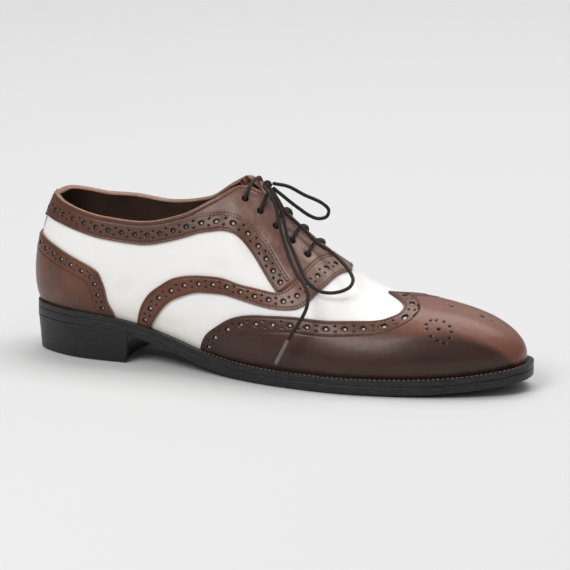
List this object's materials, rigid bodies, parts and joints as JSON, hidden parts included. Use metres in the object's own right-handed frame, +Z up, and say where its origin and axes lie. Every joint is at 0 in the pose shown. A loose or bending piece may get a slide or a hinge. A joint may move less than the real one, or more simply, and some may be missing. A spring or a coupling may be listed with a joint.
{
  "type": "spectator shoe",
  "caption": "Right-foot two-colour wing-tip oxford with a hollow leather upper, low stacked heel, welted sole and a tied waxed lace.",
  "frame": {"origin": "on the floor, under the middle of the shoe's length and width, measured without its loose lace", "axes": "+X to the toe, +Y to the medial side (the wearer's left), +Z up"},
  "size_m": [0.3066, 0.1089, 0.1117],
  "materials": {
    "brown_leather": "polished chestnut brown leather, darker at the welt",
    "white_leather": "smooth white leather with a soft sheen",
    "sole_black": "black dressed edge, satin",
    "lining_leather": "dark brown lining leather, matte",
    "lace_cord": "thin round waxed cotton",
    "aglet": "grey sleeve"
  },
  "bodies": {
    "root": {"outsole": "sole_black", "welt": "sole_black", "heel": "sole_black", "insole": "lining_leather", "upper": "white_leather", "wing_cap": "brown_leather", "counter": "brown_leather", "collar_facing_lateral": "brown_leather", "collar_facing_medial": "brown_leather", "back_strip": "brown_leather", "side_band": "brown_leather", "tongue": "lining_leather", "lace_bar_1": "lace_cord", "lace_bar_2": "lace_cord", "lace_bar_3": "lace_cord", "lace_bar_4": "lace_cord", "lace_bar_5": "lace_cord", "lace_knot": "lace_cord", "lace_loop_upper": "lace_cord", "lace_loop_lower": "lace_cord", "lace_end": "lace_cord", "lace_aglet": "aglet"}
  },
  "joints": []
}
